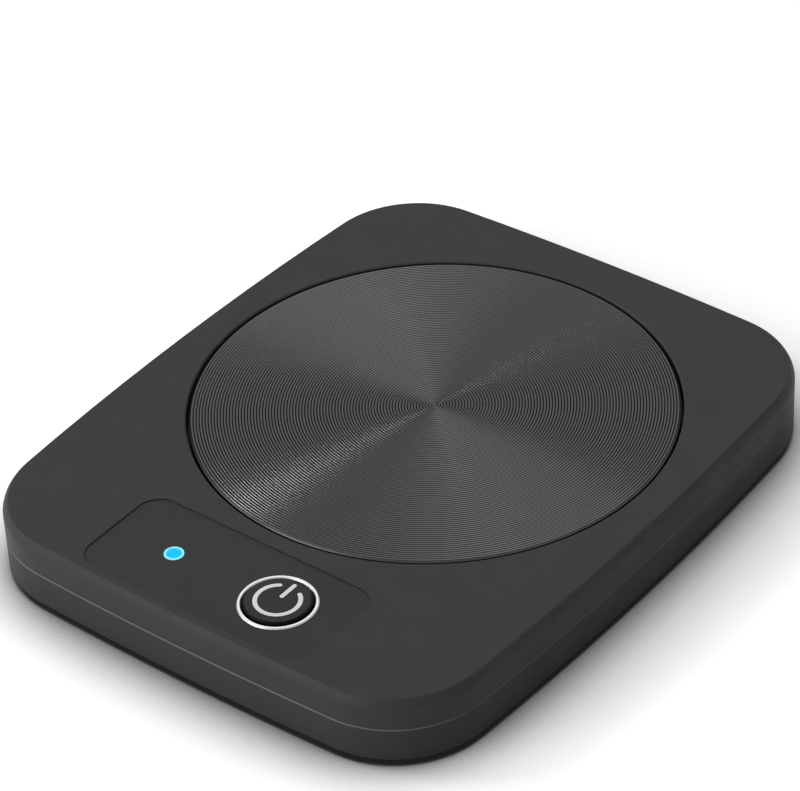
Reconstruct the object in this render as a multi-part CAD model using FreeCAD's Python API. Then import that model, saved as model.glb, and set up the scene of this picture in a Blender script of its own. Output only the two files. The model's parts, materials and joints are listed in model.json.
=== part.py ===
import FreeCAD, Part
import math
import os

# Electric mug warmer: a flat two shell housing with a round heating plate,
# a recessed control panel with a power button and a status light, and the
# heater and electronics inside. Millimetres, +Z up, the front with the panel
# towards -Y. The origin is under the middle of the body, on the feet's soles.

V = FreeCAD.Vector
UP = V(0, 0, 1)

# Top face, seen from above: the opening and the panel, and the margins around them
opening_radius = 46.2
panel_width = 51.5
panel_depth = 22.3
side_margin = 7.4
rear_margin = 10.25
panel_gap = 3.35
front_margin = 2.6

# Body outline, which follows from the top face
body_width = 2 * (opening_radius + side_margin)
body_depth = front_margin + panel_depth + panel_gap + 2 * opening_radius + rear_margin
corner_radius = 19.3
side_bow = 3.2
end_bow = 1.8

# Heights and walls of the two shells
foot_height = 1.0
lower_height = 7.3
upper_height = 6.3
wall = 2.0
top_wall = 2.0
floor_wall = 1.8
crown_width = 1.1
crown_drop = 1.9
crown_steps = 7
crown_power = 1.45
sole_edge = 0.7
seam_edge = 0.18
lip_gap = 0.1
lip_thickness = 1.0
lip_height = 1.2
ledge_depth = 1.5

# Heating plate and its stack
plate_y = body_depth / 2 - rear_margin - opening_radius
opening_edge = 0.25
plate_gap = 0.5
plate_sink = 0.1
plate_thickness = 3.1
plate_edge = 0.3
flange_overlap = 2.2
flange_thickness = 0.9
flange_clearance = 0.1
band_step = 0.08
band_inner_radius = 6.5
band_rim = 0.9
heater_margin = 3.6
heater_thickness = 0.8
pad_thickness = 1.5
clamp_thickness = 0.8
clamp_extra = 1.5
sensor_hole_radius = 6.0
clamp_boss_radius = 3.2
clamp_boss_gap = 0.9
clamp_boss_angle = 35.0
clamp_ear_radius = 4.2

# Control panel
panel_radius = 4.6
panel_y = front_margin + panel_depth / 2 - body_depth / 2
panel_sink = 0.22
panel_thickness = 0.3
trim_depth = 0.5
fit_gap = 0.05

# Power button
control_inset = 13.9
ring_radius = 7.28
ring_width = 0.78
ring_proud = 0.27
ring_edge = 0.2
cap_gap = 0.15
cap_rise = 0.7
cap_edge = 0.55
cap_edge_steps = 4
cap_top_thickness = 1.2
cap_flange_width = 0.95
cap_flange_thickness = 0.6
cap_skirt = 1.05
button_seat_gap = 0.1
button_travel = 0.5
symbol_depth = 0.2
symbol_radius = 4.42
symbol_stroke = 0.82
symbol_gap_angle = 33.5
symbol_bar_start = 1.15
symbol_bar_end = 4.65

# Status light
light_radius = 1.82
light_rim = 0.42
light_dome = 0.25
light_proud = 0.08
light_tail = 0.2
lamp_gap = 0.2
lamp_radius = 1.4
lamp_flange = 0.4
lamp_flange_height = 0.8

# Control board
board_side_gap = 1.6
board_front_gap = 2.25
board_back_gap = 2.8
board_thickness = 1.6
board_height = 3.2
board_hole_inset_x = 3.0
board_hole_inset_y = 3.5
post_radius = 2.6
switch_size = 6.0
switch_height = 3.5
plunger_radius = 1.75
plunger_clearance = 0.1
plunger_proud = 0.9
plunger_sunk = 1.2
plunger_floor = 0.2
block_width = 16.0
block_depth = 4.8
block_height = 3.0
block_back = 0.2
chip_inset = 13.5
chip_width = 9.0
chip_depth = 6.0
chip_height = 1.6
chip_lift = 0.2
chip_pin_count = 6
chip_pin_width = 0.5
chip_pin_reach = 1.2
triac_inset = 10.5
triac_width = 9.0
triac_depth = 8.0
triac_height = 3.6
triac_tab = 0.9
triac_tab_reach = 3.0
capacitor_radius = 2.0
capacitor_length = 7.6
capacitor_inset = 2.9

# Sensor, cut-out and leads
sensor_radius = 2.0
clip_length = 18.0
clip_width = 4.0
clip_thickness = 0.5
clip_pad_radius = 1.5
fuse_length = 11.0
fuse_width = 4.2
fuse_height = 3.2
fuse_x = 18.0
fuse_back = 12.0
lead_radius = 0.7
lead_x = 5.0
lead_reach = 34.0
lead_hole_radius = 2.6
rivet_radius = 1.4
rivet_height = 0.8
lead_drop = 2.6
lead_rise_gap = 2.8
sensor_lead_radius = 0.45
sensor_lead_x = 1.2
sensor_lead_reach = 2.6

# Screws: head radius, head height, shank radius, and how far shanks go in
head_radius = 2.3
head_height = 1.3
head_slot = 0.6
shank_radius = 1.05
pilot_end_gap = 0.4
shell_screw_inset_x = 12.1
shell_screw_inset_y = 12.95
shell_boss_radius = 3.4
shell_head_sink = 1.6
head_clearance = 0.3
shank_clearance = 0.3
pilot_skin = 0.8

# Feet
foot_radius = 5.5
foot_inset_x = 20.6
foot_inset_y = 19.45
foot_sunk = 0.6
foot_edge = 0.3

# Cord inlet in the rear wall
inlet_radius = 2.7
gland_radius = 3.6
gland_flange_radius = 4.2
gland_flange = 1.5
gland_inset = 0.1

# Heights worked out from the sizes above
sole_z = foot_height
seam_z = sole_z + lower_height
top_z = seam_z + upper_height
ceiling_z = top_z - top_wall
floor_z = sole_z + floor_wall
plate_top_z = top_z - plate_sink
plate_under_z = plate_top_z - plate_thickness
flange_z = plate_under_z + flange_thickness
heater_z = plate_under_z - heater_thickness
pad_z = heater_z - pad_thickness
clamp_z = pad_z - clamp_thickness
panel_top_z = top_z - panel_sink
panel_seat_z = panel_top_z - panel_thickness
trim_seat_z = panel_seat_z - trim_depth
ring_top_z = panel_top_z + ring_proud
cap_top_z = panel_top_z + cap_rise
cap_flange_z = ceiling_z - button_seat_gap
cap_bottom_z = cap_flange_z - cap_flange_thickness
cap_roof_z = cap_top_z - cap_top_thickness
board_z = floor_z + board_height
board_top_z = board_z + board_thickness
switch_top_z = board_top_z + switch_height
plunger_top_z = switch_top_z + plunger_proud
light_low_z = ceiling_z - light_tail

# Radii and places worked out from the sizes above
ring_inner_radius = ring_radius - ring_width
cap_radius = ring_inner_radius - 2 * cap_gap
guide_radius = cap_radius + cap_gap
cap_flange_radius = cap_radius + cap_flange_width
plate_radius = opening_radius - plate_gap
flange_radius = opening_radius + flange_overlap
heater_radius = plate_radius - heater_margin
clamp_radius = heater_radius + clamp_extra
clamp_boss_circle = flange_radius + clamp_boss_radius + clamp_boss_gap
lens_radius = light_radius - light_rim
ledge_inset = wall + lip_gap + lip_thickness
control_x = panel_width / 2 - control_inset
shell_screw_x = body_width / 2 - shell_screw_inset_x
shell_screw_y = body_depth / 2 - shell_screw_inset_y
foot_x = body_width / 2 - foot_inset_x
foot_y = body_depth / 2 - foot_inset_y
board_width = 2 * (shell_screw_x - shell_boss_radius - board_side_gap)
board_front_y = wall + board_front_gap - body_depth / 2
board_back_y = plate_y - flange_radius - board_back_gap
board_depth = board_back_y - board_front_y
board_y = (board_front_y + board_back_y) / 2
chip_x = chip_inset - board_width / 2
triac_x = board_width / 2 - triac_inset
capacitor_y = board_front_y + capacitor_inset
block_y = board_back_y - block_back - block_depth / 2
button_place = V(control_x, panel_y, 0)
light_place = V(-control_x, panel_y, 0)
plate_place = V(0, plate_y, 0)


def rod(radius, low, high, place):
    """Upright cylinder between two heights."""
    return Part.makeCylinder(radius, high - low, V(place.x, place.y, low), UP)


def tube(outer, inner, low, high, place):
    """Upright ring between two heights."""
    return rod(outer, low, high, place).cut(rod(inner, low, high, place))


def block(width, depth, low, high, place):
    """Upright box centred on a place."""
    corner = V(place.x - width / 2, place.y - depth / 2, low)
    return Part.makeBox(width, depth, high - low, corner)


def turned(profile, place):
    """Solid of revolution from points of radius and height."""
    points = [V(radius, 0, height) for radius, height in profile]
    face = Part.Face(Part.makePolygon(points + points[:1]))
    solid = face.revolve(V(0, 0, 0), UP, 360)
    solid.translate(V(place.x, place.y, 0))
    return solid


def joined(shapes):
    """One solid from overlapping or touching solids."""
    whole = shapes[0]
    for shape in shapes[1:]:
        whole = whole.fuse(shape)
    return whole.removeSplitter()


def cut_all(solid, tools):
    """A solid with every tool taken out of it."""
    for tool in tools:
        solid = solid.cut(tool)
    return solid


def corner_geometry():
    """Centres of the side, end and corner arcs of the bowed outline."""
    half_width = body_width / 2
    half_depth = body_depth / 2
    side_radius = (half_depth ** 2 + side_bow ** 2) / (2 * side_bow)
    end_radius = (half_width ** 2 + end_bow ** 2) / (2 * end_bow)
    side_centre = V(half_width - side_radius, 0, 0)
    end_centre = V(0, half_depth - end_radius, 0)
    reach_side = side_radius - corner_radius
    reach_end = end_radius - corner_radius
    across = end_centre - side_centre
    gap = across.Length
    along = (reach_side ** 2 - reach_end ** 2 + gap ** 2) / (2 * gap)
    off = math.sqrt(reach_side ** 2 - along ** 2)
    unit = across.normalize()
    normal = V(-unit.y, unit.x, 0)
    middle = side_centre + unit * along
    corner_centre = middle + normal * off
    if corner_centre.x < 0 or corner_centre.y < 0:
        corner_centre = middle - normal * off
    return side_centre, side_radius, end_centre, end_radius, corner_centre


SIDE_CENTRE, SIDE_RADIUS, END_CENTRE, END_RADIUS, CORNER_CENTRE = corner_geometry()


def outline(inset, height):
    """The body's bowed and rounded outline, moved inwards by an inset."""
    side_way = (CORNER_CENTRE - SIDE_CENTRE).normalize()
    end_way = (CORNER_CENTRE - END_CENTRE).normalize()
    side_touch = SIDE_CENTRE + side_way * (SIDE_RADIUS - inset)
    end_touch = END_CENTRE + end_way * (END_RADIUS - inset)
    corner_way = (side_way + end_way).normalize()
    corner_middle = CORNER_CENTRE + corner_way * (corner_radius - inset)
    half_width = body_width / 2 - inset
    half_depth = body_depth / 2 - inset

    def at(point, sign_x, sign_y):
        return V(sign_x * point.x, sign_y * point.y, height)

    side = V(half_width, 0, 0)
    end = V(0, half_depth, 0)
    side_angle = math.atan2(side_touch.y, side_touch.x - SIDE_CENTRE.x) / 2
    end_angle = math.atan2(end_touch.x, end_touch.y - END_CENTRE.y) / 2
    side_reach = SIDE_RADIUS - inset
    end_reach = END_RADIUS - inset
    side_middle = SIDE_CENTRE + V(math.cos(side_angle), math.sin(side_angle), 0) * side_reach
    end_middle = END_CENTRE + V(math.sin(end_angle), math.cos(end_angle), 0) * end_reach
    quarter = [(side, side_middle, side_touch)]
    quarter.append((side_touch, corner_middle, end_touch))
    quarter.append((end_touch, end_middle, end))
    edges = []
    for sign_x, sign_y in ((1, 1), (-1, 1), (-1, -1), (1, -1)):
        arcs = quarter if sign_x * sign_y > 0 else [arc[::-1] for arc in quarter[::-1]]
        for start, middle, stop in arcs:
            ends = [at(point, sign_x, sign_y) for point in (start, middle, stop)]
            edges.append(Part.Arc(*ends).toShape())
    return Part.Wire(edges)


def slab(inset, low, high):
    """Straight sided solid of the outline between two heights."""
    return Part.Face(outline(inset, low)).extrude(V(0, 0, high - low))


def shaped(sections):
    """Solid through the outline at each inset and height in a list."""
    return Part.makeLoft([outline(inset, height) for inset, height in sections], True, True)


def rounded_block(width, depth, radius, low, high, place):
    """Box with rounded upright edges."""
    solid = block(width, depth, low, high, place)
    upright = [edge for edge in solid.Edges if abs(edge.tangentAt(edge.FirstParameter).z) > 0.9]
    return solid.makeFillet(radius, upright)


def screw(place, seat, length, upwards):
    """Pan head screw with a crossed head; its shank points up or down."""
    way = 1 if upwards else -1
    head = rod(head_radius, min(seat, seat - way * head_height), max(seat, seat - way * head_height), place)
    tip = seat + way * length
    shank = rod(shank_radius, min(seat, tip), max(seat, tip), place)
    face = seat - way * head_height
    slot_low = min(face, face + way * head_slot)
    slot_high = max(face, face + way * head_slot)
    slots = [
        block(2 * shank_radius, head_slot, slot_low, slot_high, place),
        block(head_slot, 2 * shank_radius, slot_low, slot_high, place),
    ]
    return cut_all(joined([head, shank]), slots)


def route(points, radius):
    """Round lead along straight runs joined by arcs as large as the runs allow."""
    edges = []
    start = points[0]
    for before, corner, after in zip(points, points[1:], points[2:]):
        way_in = (corner - before).normalize()
        way_out = (after - corner).normalize()
        turn = way_in.getAngle(way_out)
        shorter = min((corner - before).Length, (after - corner).Length)
        bend = 0.45 * shorter / math.tan(turn / 2)
        trim = bend * math.tan(turn / 2)
        arc_start = corner - way_in * trim
        arc_end = corner + way_out * trim
        centre = arc_start + (way_out - way_in * way_out.dot(way_in)).normalize() * bend
        middle = centre + (corner - centre).normalize() * bend
        edges.append(Part.LineSegment(start, arc_start).toShape())
        edges.append(Part.Arc(arc_start, middle, arc_end).toShape())
        print("lead bend radius", round(bend, 2))
        start = arc_end
    edges.append(Part.LineSegment(start, points[-1]).toShape())
    path = Part.Wire(edges)
    first_way = (points[1] - points[0]).normalize()
    profile = Part.Wire([Part.makeCircle(radius, points[0], first_way)])
    return path.makePipeShell([profile], True, False)


def mirrored_places(x, y):
    """The four places at plus and minus x and y."""
    return [V(sign_x * x, sign_y * y, 0) for sign_y in (-1, 1) for sign_x in (-1, 1)]


def shell_screw_places():
    """Axes of the four screws that join the shells."""
    return mirrored_places(shell_screw_x, shell_screw_y)


def clamp_places():
    """Where the clamp plate is screwed to the housing, around the plate."""
    angles = [clamp_boss_angle, 180 - clamp_boss_angle, 180 + clamp_boss_angle, 360 - clamp_boss_angle]
    reach = [V(math.cos(math.radians(a)), math.sin(math.radians(a)), 0) for a in angles]
    return [plate_place + way * clamp_boss_circle for way in reach]


def board_places():
    """The four screw places of the control board."""
    half_x = board_width / 2 - board_hole_inset_x
    half_y = board_depth / 2 - board_hole_inset_y
    middle = V(0, board_y, 0)
    return [middle + place for place in mirrored_places(half_x, half_y)]


def crown_sections():
    """Insets and heights of the soft bevel around the top."""
    sections = []
    for step in range(crown_steps + 1):
        angle = math.pi / 2 * step / crown_steps
        inset = crown_width * (1 - math.cos(angle) ** (2 / crown_power))
        rise = crown_drop * math.sin(angle) ** (2 / crown_power)
        sections.append((inset, top_z - crown_drop + rise))
    return sections


def inlet_rod(radius, front, back):
    """Round bar through the rear wall at the seam."""
    return Part.makeCylinder(radius, back - front, V(0, front, seam_z), V(0, 1, 0))


def extruded(edges, low, high, place):
    """Upright solid over a closed flat outline of edges."""
    face = Part.Face(Part.Wire(edges))
    face.translate(place + V(0, 0, low))
    return face.extrude(V(0, 0, high - low))


def round_mark_edges():
    """Outline of the power mark's broken ring, with round ends."""
    inner = symbol_radius - symbol_stroke
    angle = math.radians(symbol_gap_angle)
    right = V(math.sin(angle), math.cos(angle), 0)
    left = V(-right.x, right.y, 0)
    middle = (symbol_radius + inner) / 2
    right_tip = right * middle + V(-right.y, right.x, 0) * (symbol_stroke / 2)
    left_tip = V(-right_tip.x, right_tip.y, 0)
    return [
        Part.Arc(right * symbol_radius, V(0, -symbol_radius, 0), left * symbol_radius).toShape(),
        Part.Arc(left * symbol_radius, left_tip, left * inner).toShape(),
        Part.Arc(left * inner, V(0, -inner, 0), right * inner).toShape(),
        Part.Arc(right * inner, right_tip, right * symbol_radius).toShape(),
    ]


def bar_mark_edges():
    """Outline of the power mark's upright bar, with round ends."""
    half = symbol_stroke / 2
    low_tip = V(0, symbol_bar_start - half, 0)
    high_tip = V(0, symbol_bar_end + half, 0)
    low_left, low_right = V(-half, symbol_bar_start, 0), V(half, symbol_bar_start, 0)
    high_left, high_right = V(-half, symbol_bar_end, 0), V(half, symbol_bar_end, 0)
    return [
        Part.makeLine(low_right, high_right),
        Part.Arc(high_right, high_tip, high_left).toShape(),
        Part.makeLine(high_left, low_left),
        Part.Arc(low_left, low_tip, low_right).toShape(),
    ]


def power_symbol_solids(low, high):
    """Broken ring and upright bar of the power mark."""
    return [extruded(edges, low, high, button_place) for edges in (round_mark_edges(), bar_mark_edges())]


def top_housing():
    """Upper shell with the plate opening, the panel recess and its bosses."""
    lower_edge = [(seam_edge, seam_z), (0, seam_z + seam_edge)]
    shell = shaped(lower_edge + crown_sections())
    shell = shell.cut(slab(wall, seam_z, ceiling_z))
    bosses = [rod(shell_boss_radius, seam_z, ceiling_z, p) for p in shell_screw_places()]
    bosses += [rod(clamp_boss_radius, pad_z, ceiling_z, p) for p in clamp_places()]
    shell = joined([shell] + bosses)
    pilot_top = ceiling_z + top_wall - pilot_skin
    pilots = [
        rod(shank_radius + fit_gap, seam_z, pilot_top, p)
        for p in shell_screw_places()
    ]
    pilots += [rod(shank_radius + fit_gap, pad_z, pilot_top, p) for p in clamp_places()]
    opening = rod(opening_radius, ceiling_z, top_z, plate_place)
    edge_profile = [
        (0, top_z - opening_edge),
        (opening_radius, top_z - opening_edge),
        (opening_radius + opening_edge, top_z),
        (0, top_z),
    ]
    opening_bevel = turned(edge_profile, plate_place)
    panel_place = V(0, panel_y, 0)
    recess = rounded_block(panel_width, panel_depth, panel_radius, panel_seat_z, top_z, panel_place)
    holes = [
        rod(ring_radius + fit_gap, trim_seat_z, panel_seat_z, button_place),
        rod(guide_radius, ceiling_z, trim_seat_z, button_place),
        rod(light_radius + fit_gap, trim_seat_z, panel_seat_z, light_place),
        rod(lens_radius + fit_gap, ceiling_z, trim_seat_z, light_place),
    ]
    inlet = inlet_rod(gland_radius + fit_gap, body_depth / 2 - 2 * wall, body_depth / 2 + wall)
    return cut_all(shell, pilots + [opening, opening_bevel, recess] + holes + [inlet])


def base_cover():
    """Lower shell: floor, wall with a lip inside the upper shell, pillars and posts."""
    outer = [(sole_edge, sole_z), (0, sole_z + sole_edge), (0, seam_z - seam_edge), (seam_edge, seam_z)]
    shell = shaped(outer)
    lip = slab(wall + lip_gap, seam_z, seam_z + lip_height)
    shell = joined([shell, lip])
    shell = shell.cut(slab(wall, floor_z, seam_z - ledge_depth))
    shell = shell.cut(slab(ledge_inset, seam_z - ledge_depth, seam_z + lip_height))
    screw_places = shell_screw_places()
    pillars = [rod(shell_boss_radius, floor_z, seam_z, p) for p in screw_places]
    posts = [rod(post_radius, floor_z, board_z, p) for p in board_places()]
    shell = joined([shell] + pillars + posts)
    seat = sole_z + shell_head_sink + head_height
    tools = [rod(head_radius + head_clearance, sole_z, seat, p) for p in screw_places]
    tools += [rod(shank_radius + shank_clearance, seat, seam_z, p) for p in screw_places]
    tools += [rod(shank_radius + fit_gap, sole_z + pilot_skin, board_z, p) for p in board_places()]
    foot_places = mirrored_places(foot_x, foot_y)
    tools += [rod(foot_radius + fit_gap, sole_z, sole_z + foot_sunk, p) for p in foot_places]
    rear = body_depth / 2
    tools.append(inlet_rod(gland_radius + fit_gap, rear - 2 * wall, rear + wall))
    lip_room = gland_flange_radius + head_clearance
    inner_place = V(0, rear - wall - gland_flange, 0)
    tools.append(block(2 * lip_room, 2 * gland_flange, seam_z - lip_room, seam_z + lip_height, inner_place))
    return cut_all(shell, tools)


def control_panel():
    """Thin inlay in the recess, with holes for the ring and the light."""
    width = panel_width - 2 * fit_gap
    depth = panel_depth - 2 * fit_gap
    place = V(0, panel_y, 0)
    sheet = rounded_block(width, depth, panel_radius - fit_gap, panel_seat_z, panel_top_z, place)
    holes = [
        rod(ring_radius + fit_gap, panel_seat_z, panel_top_z, button_place),
        rod(light_radius + fit_gap, panel_seat_z, panel_top_z, light_place),
    ]
    return cut_all(sheet, holes)


def button_ring():
    """Bright ring around the power button."""
    profile = [
        (ring_inner_radius, trim_seat_z),
        (ring_radius, trim_seat_z),
        (ring_radius, ring_top_z - ring_edge),
        (ring_radius - ring_edge, ring_top_z),
        (ring_inner_radius + ring_edge, ring_top_z),
        (ring_inner_radius, ring_top_z - ring_edge),
    ]
    return turned(profile, button_place)


def button_cap():
    """Round cap with a holding flange, a hollow skirt and a middle post."""
    inner = cap_radius - cap_skirt
    profile = [
        (0, plunger_top_z),
        (plunger_radius, plunger_top_z),
        (plunger_radius, cap_roof_z),
        (inner, cap_roof_z),
        (inner, cap_bottom_z),
        (cap_flange_radius, cap_bottom_z),
        (cap_flange_radius, cap_flange_z),
        (cap_radius, cap_flange_z),
    ]
    for step in range(cap_edge_steps + 1):
        angle = math.pi / 2 * step / cap_edge_steps
        inset = cap_edge * (1 - math.cos(angle))
        drop = cap_edge * (1 - math.sin(angle))
        profile.append((cap_radius - inset, cap_top_z - drop))
    profile.append((0, cap_top_z))
    cap = turned(profile, button_place)
    return cut_all(cap, power_symbol_solids(cap_top_z - symbol_depth, cap_top_z))


def led_lens():
    """Light pipe of the status light, with a low dome."""
    shoulder = panel_top_z + light_proud
    profile = [
        (0, light_low_z),
        (lens_radius, light_low_z),
        (lens_radius, shoulder),
        (lens_radius * 0.7, shoulder + light_dome * 0.7),
        (0, shoulder + light_dome),
    ]
    return turned(profile, light_place)


def indicator_led():
    """Lamp on the board under the light pipe."""
    top = light_low_z - lamp_gap
    dome = top - lamp_radius
    profile = [
        (0, board_top_z),
        (lamp_radius + lamp_flange, board_top_z),
        (lamp_radius + lamp_flange, board_top_z + lamp_flange_height),
        (lamp_radius, board_top_z + lamp_flange_height),
        (lamp_radius, dome),
        (lamp_radius * math.sqrt(0.5), dome + lamp_radius * math.sqrt(0.5)),
        (0, top),
    ]
    return turned(profile, light_place)


def heating_plate():
    """Round plate with a flange under the housing and a worked upper face."""
    low_band = plate_top_z - band_step
    profile = [
        (0, plate_under_z),
        (flange_radius, plate_under_z),
        (flange_radius, flange_z),
        (plate_radius, flange_z),
        (plate_radius, plate_top_z - plate_edge),
        (plate_radius - plate_edge, plate_top_z),
        (plate_radius - band_rim, plate_top_z),
        (plate_radius - band_rim - band_step, low_band),
        (band_inner_radius + band_step, low_band),
        (band_inner_radius, plate_top_z),
        (0, plate_top_z),
    ]
    return turned(profile, plate_place)


def heater_element():
    """Flat heater under the plate, with two rivets for its leads."""
    disc = rod(heater_radius, heater_z, plate_under_z, plate_place)
    rivets = [rod(rivet_radius, heater_z - rivet_height, heater_z, p) for p in lead_places()]
    return joined([disc] + rivets)


def lead_places():
    """Where the two heater leads start, left and right of the middle."""
    return [V(sign * lead_x, plate_y - lead_reach, 0) for sign in (-1, 1)]


def insulation_pad():
    """Pad under the heater, open at the sensor and the lead rivets."""
    pad = rod(heater_radius, pad_z, heater_z, plate_place)
    holes = [rod(sensor_hole_radius, pad_z, heater_z, plate_place)]
    holes += [rod(lead_hole_radius, pad_z, heater_z, p) for p in lead_places()]
    return cut_all(pad, holes)


def clamp_plate():
    """Steel plate with four ears that holds the stack up against the housing."""
    shapes = [rod(clamp_radius, clamp_z, pad_z, plate_place)]
    for place in clamp_places():
        shapes.append(rod(clamp_ear_radius, clamp_z, pad_z, place))
        way = (place - plate_place).normalize()
        side = V(-way.y, way.x, 0) * clamp_ear_radius
        inner = plate_place + way * (clamp_radius / 2)
        corners = [inner + side, place + side, place - side, inner - side, inner + side]
        corners = [V(c.x, c.y, clamp_z) for c in corners]
        arm = Part.Face(Part.makePolygon(corners)).extrude(V(0, 0, clamp_thickness))
        shapes.append(arm)
    holes = [rod(shank_radius + shank_clearance, clamp_z, pad_z, p) for p in clamp_places()]
    holes.append(rod(sensor_hole_radius, clamp_z, pad_z, plate_place))
    holes += [rod(lead_hole_radius, clamp_z, pad_z, p) for p in lead_places()]
    return cut_all(joined(shapes), holes)


def thermistor_clip():
    """Strip across the middle hole that presses the sensor to the heater."""
    strip = block(clip_length, clip_width, clamp_z - clip_thickness, clamp_z, plate_place)
    pad = rod(clip_pad_radius, clamp_z, pad_z, plate_place)
    return joined([strip, pad])


def thermal_fuse():
    """Cut-out with rounded ends under the clamp plate."""
    place = plate_place + V(fuse_x, fuse_back, 0)
    return rounded_block(fuse_length, fuse_width, fuse_width / 3, clamp_z - fuse_height, clamp_z, place)


def lead_run(x, start_y, start_z, radius, first_reach):
    """One lead from under the plate to the terminal block on the board."""
    run_z = clamp_z - clip_thickness - lead_drop
    entry_z = board_top_z + block_height / 2
    rise_y = board_back_y + lead_rise_gap
    points = [V(x, start_y, start_z)]
    if first_reach > 0:
        points.append(V(x, start_y - first_reach, start_z))
    points.append(V(x, start_y - first_reach, run_z))
    points.append(V(x, rise_y, run_z))
    points.append(V(x, rise_y, entry_z))
    points.append(V(x, block_y + block_depth / 2, entry_z))
    return route(points, radius)


def heater_leads():
    """Two insulated leads from the heater rivets to the terminal block."""
    start_z = heater_z - rivet_height
    return Part.Compound([lead_run(p.x, p.y, start_z, lead_radius, 0) for p in lead_places()])


def sensor_leads():
    """Two thin leads from the sensor to the terminal block."""
    start_y = plate_y - math.sqrt(sensor_radius ** 2 - sensor_lead_x ** 2)
    start_z = pad_z + pad_thickness / 2
    leads = []
    for sign in (-1, 1):
        leads.append(lead_run(sign * sensor_lead_x, start_y, start_z, sensor_lead_radius, sensor_lead_reach))
    sensor = thermistor()
    return Part.Compound([lead.cut(sensor) for lead in leads])


def thermistor():
    """Temperature sensor held against the heater."""
    return rod(sensor_radius, pad_z, heater_z, plate_place)


def control_board():
    """Circuit board on four posts in front of the plate."""
    board = block(board_width, board_depth, board_z, board_top_z, V(0, board_y, 0))
    holes = [rod(shank_radius + shank_clearance, board_z, board_top_z, p) for p in board_places()]
    return cut_all(board, holes)


def tactile_switch():
    """Small switch under the button, hollow for its plunger."""
    body = block(switch_size, switch_size, board_top_z, switch_top_z, button_place)
    well_z = switch_top_z - plunger_sunk - button_travel - plunger_floor
    return body.cut(rod(plunger_radius + plunger_clearance, well_z, switch_top_z, button_place))


def switch_plunger():
    """Moving stem of the switch, carried down by the cap."""
    return rod(plunger_radius, switch_top_z - plunger_sunk, plunger_top_z, button_place)


def control_chip():
    """Controller chip with two rows of pins."""
    place = V(chip_x, board_y, 0)
    low = board_top_z + chip_lift
    shapes = [block(chip_width, chip_depth, low, low + chip_height, place)]
    pitch = chip_width / chip_pin_count
    for index in range(chip_pin_count):
        x = (index - (chip_pin_count - 1) / 2) * pitch
        row = place + V(x, 0, 0)
        span = chip_depth + 2 * chip_pin_reach
        shapes.append(block(chip_pin_width, span, board_top_z, low + chip_height / 4, row))
    body = joined(shapes)
    underside = block(chip_width, chip_depth, board_top_z, low, place)
    return body.cut(underside)


def triac():
    """Power switch lying on its metal tab."""
    place = V(triac_x, board_y - triac_tab_reach / 2, 0)
    body = block(triac_width, triac_depth, board_top_z, board_top_z + triac_height, place)
    tab_place = place + V(0, (triac_depth + triac_tab_reach) / 2, 0)
    tab = block(triac_width, triac_tab_reach, board_top_z, board_top_z + triac_tab, tab_place)
    hole = rod(shank_radius, board_top_z, board_top_z + triac_tab, tab_place)
    return joined([body, tab.cut(hole)])


def capacitor():
    """Round capacitor lying across the board near its front edge."""
    start = V(-capacitor_length / 2, capacitor_y, board_top_z + capacitor_radius)
    can = Part.makeCylinder(capacitor_radius, capacitor_length, start, V(1, 0, 0))
    foot = block(capacitor_length, capacitor_radius, board_top_z, start.z, V(0, start.y, 0))
    return joined([can, foot])


def cord_gland():
    """Bushing in the rear wall, trapped between the two shells."""
    rear = body_depth / 2
    inner = rear - wall - fit_gap
    body = inlet_rod(gland_radius, inner - gland_flange, rear - gland_inset)
    flange = inlet_rod(gland_flange_radius, inner - gland_flange, inner)
    bore = inlet_rod(inlet_radius, inner - gland_flange, rear)
    return joined([body, flange]).cut(bore)


def foot(place):
    """Round rubber foot, sunk into the base and soft at its sole."""
    profile = [
        (0, 0),
        (foot_radius - foot_edge, 0),
        (foot_radius, foot_edge),
        (foot_radius, sole_z + foot_sunk),
        (0, sole_z + foot_sunk),
    ]
    return turned(profile, place)


def shell_screws():
    """Four screws from below that join the shells."""
    seat = sole_z + shell_head_sink + head_height
    length = ceiling_z - pilot_end_gap - seat
    return Part.Compound([screw(p, seat, length, True) for p in shell_screw_places()])


def clamp_screws():
    """Four screws that hold the clamp plate to the housing."""
    length = ceiling_z - pilot_end_gap - clamp_z
    return Part.Compound([screw(p, clamp_z, length, True) for p in clamp_places()])


def board_screws():
    """Four screws that hold the board to its posts."""
    length = board_top_z - floor_z
    return Part.Compound([screw(p, board_top_z, length, False) for p in board_places()])


def save(name, shape):
    """Write one sub-part and say whether it is sound."""
    print(name, "valid", shape.isValid(), "solids", len(shape.Solids), "volume", round(shape.Volume, 1))
    shape.exportStep("parts/" + name + ".step")


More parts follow.
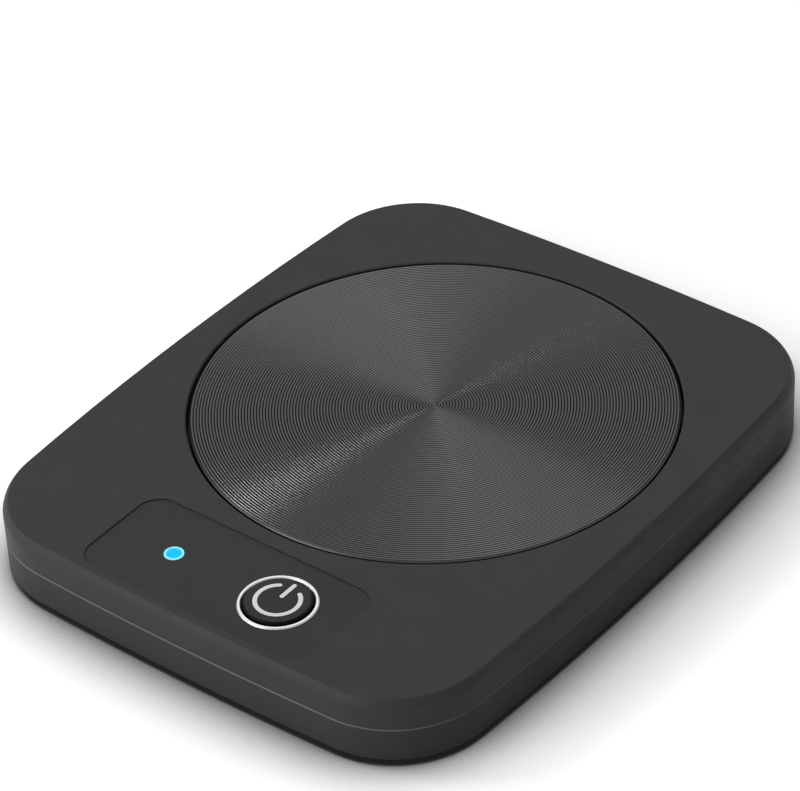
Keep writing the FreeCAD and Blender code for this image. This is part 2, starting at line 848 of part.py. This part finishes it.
def main():
    os.makedirs("parts", exist_ok=True)
    save("top_housing", top_housing())
    save("base_cover", base_cover())
    save("control_panel", control_panel())
    save("button_ring", button_ring())
    save("button_cap", button_cap())
    save("power_symbol", Part.Compound(power_symbol_solids(cap_top_z - symbol_depth, cap_top_z)))
    save("led_lens", led_lens())
    save("led_bezel", tube(light_radius, lens_radius, trim_seat_z, panel_top_z + light_proud, light_place))
    save("heating_plate", heating_plate())
    seal_inner_radius = opening_radius + flange_clearance
    save("plate_seal", tube(flange_radius, seal_inner_radius, flange_z, ceiling_z, plate_place))
    save("heater_element", heater_element())
    save("insulation_pad", insulation_pad())
    save("clamp_plate", clamp_plate())
    save("clamp_screws", clamp_screws())
    save("thermistor", thermistor())
    save("thermistor_clip", thermistor_clip())
    save("thermal_fuse", thermal_fuse())
    save("heater_leads", heater_leads())
    save("sensor_leads", sensor_leads())
    save("control_board", control_board())
    save("board_screws", board_screws())
    save("tactile_switch", tactile_switch())
    save("switch_plunger", switch_plunger())
    save("indicator_led", indicator_led())
    save("control_chip", control_chip())
    save("triac", triac())
    save("capacitor", capacitor())
    block_place = V(0, block_y, 0)
    block_top_z = board_top_z + block_height
    save("terminal_block", block(block_width, block_depth, board_top_z, block_top_z, block_place))
    save("cord_gland", cord_gland())
    save("housing_screws", shell_screws())
    names = ["foot_front_left", "foot_front_right", "foot_rear_left", "foot_rear_right"]
    for name, place in zip(names, mirrored_places(foot_x, foot_y)):
        save(name, foot(place))


main()
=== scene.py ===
import json
import math

import bpy
from mathutils import Matrix, Vector


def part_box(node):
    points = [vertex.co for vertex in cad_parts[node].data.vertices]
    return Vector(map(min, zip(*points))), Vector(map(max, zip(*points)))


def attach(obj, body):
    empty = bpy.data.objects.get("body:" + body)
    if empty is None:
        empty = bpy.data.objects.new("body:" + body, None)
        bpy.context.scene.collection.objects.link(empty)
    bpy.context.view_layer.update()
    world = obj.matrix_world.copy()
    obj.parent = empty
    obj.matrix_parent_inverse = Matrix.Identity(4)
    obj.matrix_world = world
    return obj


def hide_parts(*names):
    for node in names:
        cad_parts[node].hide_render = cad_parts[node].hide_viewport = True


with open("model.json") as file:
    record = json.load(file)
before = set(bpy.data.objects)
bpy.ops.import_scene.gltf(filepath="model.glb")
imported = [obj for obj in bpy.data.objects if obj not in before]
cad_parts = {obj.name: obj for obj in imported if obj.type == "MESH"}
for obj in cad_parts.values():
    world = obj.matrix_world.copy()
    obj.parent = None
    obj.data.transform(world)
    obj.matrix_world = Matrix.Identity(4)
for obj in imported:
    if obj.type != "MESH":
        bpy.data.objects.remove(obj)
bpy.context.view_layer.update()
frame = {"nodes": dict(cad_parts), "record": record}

MM = 0.001

# Camera, as fitted to the outlines in the photograph; angles in degrees, lengths in mm
CAMERA_AZIMUTH = 39.288
CAMERA_ELEVATION = 36.873
CAMERA_ROLL = -2.908
CAMERA_DISTANCE = 701.97
CAMERA_TARGET = Vector((-18.448, 21.6, 1.0))
CAMERA_LENS = 164.3
SENSOR_WIDTH = 36.0

# Nearest and farthest thing the camera sees, in metres
CAMERA_NEAR = 0.01
CAMERA_FAR = 20.0

# Lights by name: direction from the object, distance and size in metres, power in watts
LIGHTS = {
    "glint": ((-0.74, -0.33, 0.59), 0.9, 0.22, 2.6),
    "key": ((-0.3, -0.9, 0.35), 1.0, 0.8, 6.7),
    "top": ((0.1, 0.35, 1.0), 1.0, 0.9, 2.45),
}

# Floor and surroundings; a painted contact shadow darkens the floor within the reach of the object, in
# metres
FLOOR_HALF = 3.0
FLOOR_COLOR = 0.93
FLOOR_GLOW = 0.51
WORLD_LIGHT = 0.15
CONTACT_REACH = 0.03
CONTACT_SHADE = 0.02
CONTACT_OPENNESS = (0.42, 0.9)

# Heating plate, in mm; its turned lines are V grooves in the flat top
PLATE_RADIUS = 45.7
PLATE_EDGE = 0.26
PLATE_FLANGE = 0.9
PLATE_SEGMENTS = 360
GROOVE_PITCH = 0.56
GROOVE_WIDTH = 0.26
GROOVE_DEPTH = 0.095
GROOVE_OUTER = 45.1
GROOVE_INNER = 0.25
SHARP_ANGLE = 40

# Colours that change with the slope of the surface
BASE_COLOR = (0.029, 0.029, 0.0295)
# Painted highlight: paler colour on the slanted edge of the lower shell at the seam
SEAM_HIGHLIGHT_COLOR = (0.14, 0.14, 0.141)
CAP_TOP_COLOR = (0.04, 0.04, 0.0405)
# Painted shade: near black on the button cap's rounded edge
CAP_EDGE_SHADE_COLOR = (0.001, 0.001, 0.001)
# Painted highlights: brighter metal on the groove slopes and on the plate's rim chamfer and side
PLATE_LINE_HIGHLIGHT_COLOR = (0.105, 0.105, 0.105)
PLATE_RIM_HIGHLIGHT_COLOR = (0.05, 0.05, 0.05)
PLATE_FLAT_COLOR = (0.003, 0.003, 0.003)
RING_TOP_COLOR = (0.8, 0.8, 0.8)
# Painted shade: duller silver on the ring's slanted edges
RING_EDGE_SHADE_COLOR = (0.42, 0.42, 0.42)

# Upright part of the normal, from the steeper face to the more level one, over which a colour changes
SEAM_HIGHLIGHT_SLOPE = (0.3, 0.6)
SEAM_HIGHLIGHT_SHELF_SLOPE = (0.8, 0.95)
CAP_SHADE_SLOPE = (0.9, 0.99)
RIM_HIGHLIGHT_SLOPE = (0.72, 0.78)
GROOVE_HIGHLIGHT_SLOPE = (0.86, 0.98)
RING_SHADE_SLOPE = (0.8, 0.95)

# Surface patterns, sizes in mm
NOISE_RANGE = (0.3, 0.7)
NOISE_DETAIL = 2.0
MOTTLE_SIZE = 14.0
GLOSS_SIZE = 5.0
GLOSS_SPREAD = 0.03
GRAIN_STRENGTH = 0.6
LINE_STRETCH = 0.05
LINE_TONES = (0.9, 1.06)
LINE_GLOSS_SPREAD = 0.05
CELL_SIZE = 2.5


# Materials

def start_material(name):
    """New node material; gives it with its node tree and its shader."""
    material = bpy.data.materials.new(name)
    material.use_nodes = True
    tree = material.node_tree
    return material, tree, tree.nodes["Principled BSDF"]


def object_coordinates(tree):
    """Texture coordinates that stay with the piece."""
    return tree.nodes.new("ShaderNodeTexCoord").outputs["Object"]


def noise(tree, size_mm):
    """Noise whose blotches are about size_mm across."""
    node = tree.nodes.new("ShaderNodeTexNoise")
    node.inputs["Scale"].default_value = 1 / (size_mm * MM)
    node.inputs["Detail"].default_value = NOISE_DETAIL
    tree.links.new(object_coordinates(tree), node.inputs["Vector"])
    return node.outputs["Fac"]


def mapped(tree, value, source, target):
    """A value moved from one range to another and held at its ends."""
    node = tree.nodes.new("ShaderNodeMapRange")
    node.inputs["From Min"].default_value = source[0]
    node.inputs["From Max"].default_value = source[1]
    node.inputs["To Min"].default_value = target[0]
    node.inputs["To Max"].default_value = target[1]
    tree.links.new(value, node.inputs["Value"])
    return node.outputs["Result"]


def spread(tree, pattern, low, high):
    """A noise pattern laid between low and high."""
    return mapped(tree, pattern, NOISE_RANGE, (low, high))


def levelness(tree, slope):
    """0 on faces steeper than a slope range, 1 on more level ones."""
    normal = tree.nodes.new("ShaderNodeNewGeometry").outputs["True Normal"]
    parts = tree.nodes.new("ShaderNodeSeparateXYZ")
    tree.links.new(normal, parts.inputs["Vector"])
    return mapped(tree, parts.outputs["Z"], slope, (0, 1))


def two_colors(tree, factor, first, second):
    """Colour between two, by a factor; each is a colour or another node's output."""
    node = tree.nodes.new("ShaderNodeMix")
    node.data_type = "RGBA"
    for socket, color in (("A", first), ("B", second)):
        if isinstance(color, tuple):
            node.inputs[socket].default_value = (*color, 1)
        else:
            tree.links.new(color, node.inputs[socket])
    tree.links.new(factor, node.inputs["Factor"])
    return node.outputs["Result"]


def uneven_gloss(tree, shader, size_mm, low, high):
    """Roughness between low and high, in patches about size_mm across."""
    tree.links.new(spread(tree, noise(tree, size_mm), low, high), shader.inputs["Roughness"])


def bump(tree, shader, height, depth_mm, strength):
    """Surface relief from a height value."""
    node = tree.nodes.new("ShaderNodeBump")
    node.inputs["Strength"].default_value = strength
    node.inputs["Distance"].default_value = depth_mm * MM
    tree.links.new(height, node.inputs["Height"])
    tree.links.new(node.outputs["Normal"], shader.inputs["Normal"])


def tone(color, share):
    """A colour made lighter or darker by a share."""
    return tuple(min(1.0, c * share) for c in color)


def moulded(name, color, roughness, specular, grain_mm, grain_depth, mottle=0.05):
    """Moulded plastic: fine grain, faint mottling of tone and gloss."""
    material, tree, shader = start_material(name)
    blotch = spread(tree, noise(tree, MOTTLE_SIZE), 0.0, 1.0)
    mixed = two_colors(tree, blotch, tone(color, 1 - mottle), tone(color, 1 + mottle))
    tree.links.new(mixed, shader.inputs["Base Color"])
    uneven_gloss(tree, shader, GLOSS_SIZE, roughness - GLOSS_SPREAD, roughness + GLOSS_SPREAD)
    shader.inputs["Specular IOR Level"].default_value = specular
    bump(tree, shader, noise(tree, grain_mm), grain_depth, GRAIN_STRENGTH)
    return material


def brushed(name, color, roughness, line_mm):
    """Bare metal with fine drawn lines along X."""
    material, tree, shader = start_material(name)
    stretch = tree.nodes.new("ShaderNodeMapping")
    stretch.inputs["Scale"].default_value = (LINE_STRETCH, 1.0, 1.0)
    tree.links.new(object_coordinates(tree), stretch.inputs["Vector"])
    lines = tree.nodes.new("ShaderNodeTexNoise")
    lines.inputs["Scale"].default_value = 1 / (line_mm * MM)
    tree.links.new(stretch.outputs["Vector"], lines.inputs["Vector"])
    pattern = lines.outputs["Fac"]
    dull, bright = LINE_TONES
    mixed = two_colors(tree, spread(tree, pattern, 0.0, 1.0), tone(color, dull), tone(color, bright))
    tree.links.new(mixed, shader.inputs["Base Color"])
    gloss = spread(tree, pattern, roughness - LINE_GLOSS_SPREAD, roughness + LINE_GLOSS_SPREAD)
    tree.links.new(gloss, shader.inputs["Roughness"])
    shader.inputs["Metallic"].default_value = 1.0
    bump(tree, shader, pattern, depth_mm=0.01, strength=0.4)
    return material


def lit(name, dimmer, brighter, size_mm):
    """Lit translucent plastic, a little uneven."""
    material, tree, shader = start_material(name)
    glow = two_colors(tree, spread(tree, noise(tree, size_mm), 0.0, 1.0), dimmer, brighter)
    tree.links.new(glow, shader.inputs["Emission Color"])
    shader.inputs["Emission Strength"].default_value = 0.96
    shader.inputs["Base Color"].default_value = (0.0, 0.01, 0.02, 1)
    shader.inputs["Roughness"].default_value = 0.25
    shader.inputs["Specular IOR Level"].default_value = 0.08
    return material


def base_material():
    """The lower shell's plastic, with a painted highlight: paler on the thin slanted edge at the seam.
    """
    material = moulded("base_black", BASE_COLOR, 0.62, 0.2, 0.16, 0.012)
    tree = material.node_tree
    color = tree.nodes["Principled BSDF"].inputs["Base Color"]
    plain = color.links[0].from_socket
    # Painted highlight on faces between the steep wall and the level shelf
    slanted = two_colors(tree, levelness(tree, SEAM_HIGHLIGHT_SLOPE), plain, SEAM_HIGHLIGHT_COLOR)
    mixed = two_colors(tree, levelness(tree, SEAM_HIGHLIGHT_SHELF_SLOPE), slanted, plain)
    tree.links.new(mixed, color)
    return material


def cap_material():
    """Satin button cap with painted shade: its rounded edge is near black."""
    material, tree, shader = start_material("button_satin")
    # Painted shade on the cap's rounded edge, by the slope of the surface
    mixed = two_colors(tree, levelness(tree, CAP_SHADE_SLOPE), CAP_EDGE_SHADE_COLOR, CAP_TOP_COLOR)
    tree.links.new(mixed, shader.inputs["Base Color"])
    uneven_gloss(tree, shader, size_mm=2.0, low=0.4, high=0.46)
    shader.inputs["Specular IOR Level"].default_value = 0.06
    bump(tree, shader, noise(tree, size_mm=0.12), depth_mm=0.004, strength=0.4)
    return material


def ring_material():
    """Silver ring with a bright top and painted shade that makes its slanted edges duller."""
    material, tree, shader = start_material("ring_silver")
    # Painted shade on the ring's edges, by the slope of the surface
    mixed = two_colors(tree, levelness(tree, RING_SHADE_SLOPE), RING_EDGE_SHADE_COLOR, RING_TOP_COLOR)
    tree.links.new(mixed, shader.inputs["Base Color"])
    uneven_gloss(tree, shader, size_mm=0.8, low=0.26, high=0.34)
    shader.inputs["Metallic"].default_value = 1.0
    bump(tree, shader, noise(tree, size_mm=0.15), depth_mm=0.004, strength=0.3)
    return material


def plate_material():
    """Turned metal with painted highlights: the slopes of the grooves and the rim's chamfer and side are
    brighter metal, the flats between them near black.
    """
    material, tree, shader = start_material("plate_black_turned")
    # Painted highlights on the groove slopes and the rim, by the slope of the surface
    turned = two_colors(tree, levelness(tree, GROOVE_HIGHLIGHT_SLOPE), PLATE_LINE_HIGHLIGHT_COLOR, PLATE_FLAT_COLOR)
    mixed = two_colors(tree, levelness(tree, RIM_HIGHLIGHT_SLOPE), PLATE_RIM_HIGHLIGHT_COLOR, turned)
    tree.links.new(mixed, shader.inputs["Base Color"])
    uneven_gloss(tree, shader, size_mm=6.0, low=0.23, high=0.27)
    shader.inputs["Metallic"].default_value = 1.0
    return material


def board_material():
    """Green solder mask with faint square cells of copper under it."""
    material, tree, shader = start_material("board_green_mask")
    cells = tree.nodes.new("ShaderNodeTexVoronoi")
    cells.distance = "CHEBYCHEV"
    cells.inputs["Scale"].default_value = 1 / (CELL_SIZE * MM)
    tree.links.new(object_coordinates(tree), cells.inputs["Vector"])
    value = spread(tree, cells.outputs["Distance"], 0.0, 1.0)
    mixed = two_colors(tree, value, (0.02, 0.16, 0.06), (0.03, 0.24, 0.1))
    tree.links.new(mixed, shader.inputs["Base Color"])
    shader.inputs["Roughness"].default_value = 0.35
    return material


# Slot by slot; the moulded ones give colour, roughness, specular level, grain size and depth, mottling
MATERIALS = {
    "housing_plastic": moulded("housing_black", (0.0285, 0.0285, 0.029), 0.6, 0.22, 0.16, 0.012),
    "base_plastic": base_material(),
    "panel_plastic": moulded("panel_black", (0.0235, 0.0235, 0.024), 0.55, 0.2, 0.1, 0.005),
    "button_plastic": cap_material(),
    "ring_metal": ring_material(),
    "symbol_print": moulded("symbol_pale", (0.84, 0.84, 0.84), 0.5, 0.3, 0.2, 0.003, 0.02),
    "lens_blue": lit("light_blue", (0.003, 0.54, 0.98), (0.006, 0.6, 1.0), 1.2),
    "bezel_pale": lit("light_rim", (0.27, 0.88, 0.98), (0.34, 0.93, 1.0), 1.0),
    "plate_metal": plate_material(),
    "silicone": moulded("seal_silicone", (0.1, 0.1, 0.1), 0.7, 0.3, 0.4, 0.02),
    "mica": moulded("heater_mica", (0.62, 0.52, 0.36), 0.5, 0.4, 1.2, 0.05, 0.15),
    "pad_felt": moulded("pad_felt", (0.82, 0.8, 0.74), 0.95, 0.1, 0.6, 0.15, 0.08),
    "steel": brushed("zinc_steel", (0.6, 0.6, 0.62), 0.35, 0.4),
    "sensor_ceramic": moulded("sensor_ceramic", (0.75, 0.73, 0.68), 0.45, 0.5, 0.3, 0.01),
    "lead_red": moulded("lead_red", (0.55, 0.05, 0.03), 0.55, 0.4, 0.5, 0.02),
    "lead_white": moulded("lead_white", (0.8, 0.8, 0.78), 0.55, 0.4, 0.5, 0.02),
    "board_green": board_material(),
    "chip_black": moulded("chip_epoxy", (0.02, 0.02, 0.02), 0.65, 0.3, 0.15, 0.01),
    "cap_sleeve": moulded("capacitor_sleeve", (0.03, 0.06, 0.2), 0.3, 0.5, 0.6, 0.01),
    "terminal_plastic": moulded("terminal_green", (0.04, 0.28, 0.14), 0.45, 0.4, 0.3, 0.01),
    "foot_rubber": moulded("foot_rubber", (0.02, 0.02, 0.02), 0.8, 0.25, 0.3, 0.03, 0.1),
}


def dress_nodes():
    """Give every carried over node the material of its slot."""
    for part in frame["record"]["subparts"]:
        node = frame["nodes"][part["node"]]
        node.data.materials.clear()
        node.data.materials.append(MATERIALS[part["material_slot"]])


# Meshes

def new_piece(name, vertices, faces):
    """New mesh object in the scene."""
    mesh = bpy.data.meshes.new(name)
    mesh.from_pydata(vertices, [], faces)
    mesh.update()
    piece = bpy.data.objects.new(name, mesh)
    bpy.context.scene.collection.objects.link(piece)
    return piece


def ring_corners(centre, radius, height, segments):
    """Corners of one ring of a turned mesh, in metres; on the axis a single one."""
    if radius == 0.0:
        return [(centre.x * MM, centre.y * MM, height * MM)]
    corners = []
    for step in range(segments):
        angle = 2 * math.pi * step / segments
        x = (centre.x + radius * math.cos(angle)) * MM
        y = (centre.y + radius * math.sin(angle)) * MM
        corners.append((x, y, height * MM))
    return corners


def band_faces(ring, following, segments):
    """Faces between two rings that follow each other; either may be a single corner."""
    faces = []
    for step in range(segments):
        after = (step + 1) % segments
        if len(ring) == 1:
            faces.append((ring[0], following[after], following[step]))
        elif len(following) == 1:
            faces.append((ring[step], ring[after], following[0]))
        else:
            faces.append((ring[step], ring[after], following[after], following[step]))
    return faces


def lathe(name, profile, centre, segments):
    """Closed mesh turned about an upright axis; profile and centre in mm."""
    vertices = []
    rings = []
    for radius, height in profile:
        corners = ring_corners(centre, radius, height, segments)
        rings.append(range(len(vertices), len(vertices) + len(corners)))
        vertices += corners
    faces = []
    for ring, following in zip(rings, rings[1:]):
        faces += band_faces(ring, following, segments)
    return new_piece(name, vertices, faces)


def smooth(piece, degrees):
    """Smooth shading that keeps edges sharper than an angle."""
    for face in piece.data.polygons:
        face.use_smooth = True
    with bpy.context.temp_override(object=piece, active_object=piece, selected_editable_objects=[piece]):
        bpy.ops.object.shade_smooth_by_angle(angle=math.radians(degrees))


# Heating plate

def plate_profile(low, high, flange_radius):
    """Radius and height points of the turned plate, from the underside's middle to the top's."""
    points = [(0.0, low), (flange_radius, low), (flange_radius, low + PLATE_FLANGE)]
    points.append((PLATE_RADIUS, low + PLATE_FLANGE))
    points.append((PLATE_RADIUS, high - PLATE_EDGE))
    points.append((PLATE_RADIUS - PLATE_EDGE, high))
    radius = GROOVE_OUTER
    while radius > GROOVE_INNER:
        points.append((radius + GROOVE_WIDTH / 2, high))
        points.append((radius, high - GROOVE_DEPTH))
        points.append((radius - GROOVE_WIDTH / 2, high))
        radius -= GROOVE_PITCH
    points.append((0.0, high))
    return points


def make_plate():
    """The turned heating plate, which stands for the plain one."""
    low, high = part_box("heating_plate")
    centre = (low + high) / 2 / MM
    flange_radius = (high.x - low.x) / 2 / MM
    profile = plate_profile(low.z / MM, high.z / MM, flange_radius)
    piece = lathe("heating_plate_turned", profile, centre, PLATE_SEGMENTS)
    smooth(piece, SHARP_ANGLE)
    piece.data.materials.append(MATERIALS["plate_metal"])
    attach(piece, "base")
    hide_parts("heating_plate")


# Camera, light and stage

def make_camera():
    """Camera at the photograph's view."""
    azimuth = math.radians(CAMERA_AZIMUTH)
    elevation = math.radians(CAMERA_ELEVATION)
    roll = math.radians(CAMERA_ROLL)
    back = Vector((
        math.sin(azimuth) * math.cos(elevation),
        -math.cos(azimuth) * math.cos(elevation),
        math.sin(elevation),
    ))
    right = (-back).cross(Vector((0, 0, 1))).normalized()
    up = right.cross(-back)
    rolled_right = right * math.cos(roll) + up * math.sin(roll)
    rolled_up = up * math.cos(roll) - right * math.sin(roll)
    place = (CAMERA_TARGET + back * CAMERA_DISTANCE) * MM
    turn = Matrix((rolled_right, rolled_up, back)).transposed().to_4x4()
    data = bpy.data.cameras.new("camera")
    data.sensor_width = SENSOR_WIDTH
    data.lens = CAMERA_LENS
    data.clip_start = CAMERA_NEAR
    data.clip_end = CAMERA_FAR
    camera = bpy.data.objects.new("camera", data)
    camera.matrix_world = Matrix.Translation(place) @ turn
    bpy.context.scene.collection.objects.link(camera)
    bpy.context.scene.camera = camera


def area_light(name, way, distance, size, power):
    """Square soft light in a direction from the object, turned to it."""
    data = bpy.data.lights.new(name, "AREA")
    data.shape = "SQUARE"
    data.size = size
    data.energy = power
    light = bpy.data.objects.new(name, data)
    direction = Vector(way).normalized()
    light.location = direction * distance
    light.rotation_mode = "QUATERNION"
    light.rotation_quaternion = direction.to_track_quat("Z", "Y")
    bpy.context.scene.collection.objects.link(light)


def seen_rays(tree):
    """1 for rays from the camera, off gloss and through glass, 0 for the others."""
    path = tree.nodes.new("ShaderNodeLightPath")
    seen = path.outputs["Is Camera Ray"]
    for kind in ("Is Glossy Ray", "Is Transmission Ray"):
        larger = tree.nodes.new("ShaderNodeMath")
        larger.operation = "MAXIMUM"
        tree.links.new(seen, larger.inputs[0])
        tree.links.new(path.outputs[kind], larger.inputs[1])
        seen = larger.outputs[0]
    return seen


def make_world():
    """White where it is seen, and a softer level as light."""
    world = bpy.data.worlds.new("studio")
    world.use_nodes = True
    tree = world.node_tree
    background = tree.nodes["Background"]
    background.inputs["Color"].default_value = (1, 1, 1, 1)
    level = mapped(tree, seen_rays(tree), (0, 1), (WORLD_LIGHT, 1))
    tree.links.new(level, background.inputs["Strength"])
    bpy.context.scene.world = world


def floor_material():
    """Matte white with some glow of its own where it is seen, and a painted contact shadow that makes it
    dark right beside the object.
    """
    material, tree, shader = start_material("floor_white")
    # Painted contact shadow: the floor's colour and glow darken where the object closes it in
    around = tree.nodes.new("ShaderNodeAmbientOcclusion")
    around.inputs["Distance"].default_value = CONTACT_REACH
    openness = mapped(tree, around.outputs["AO"], CONTACT_OPENNESS, (0, 1))
    white = (FLOOR_COLOR,) * 3
    mixed = two_colors(tree, openness, tone(white, CONTACT_SHADE), white)
    tree.links.new(mixed, shader.inputs["Base Color"])
    tree.links.new(mixed, shader.inputs["Emission Color"])
    glow = mapped(tree, seen_rays(tree), (0, 1), (0, FLOOR_GLOW))
    tree.links.new(glow, shader.inputs["Emission Strength"])
    shader.inputs["Roughness"].default_value = 1.0
    shader.inputs["Specular IOR Level"].default_value = 0.0
    return material


def make_floor():
    """Large white floor that keeps the object's shadow."""
    sides = ((-1, -1), (1, -1), (1, 1), (-1, 1))
    corners = [(x * FLOOR_HALF, y * FLOOR_HALF, 0) for x, y in sides]
    floor = new_piece("floor", corners, [(0, 1, 2, 3)])
    floor.data.materials.append(floor_material())


make_camera()
dress_nodes()
make_plate()
for light_name, light_values in LIGHTS.items():
    area_light(light_name, *light_values)
make_world()
make_floor()

bpy.context.scene.view_settings.view_transform = "Standard"
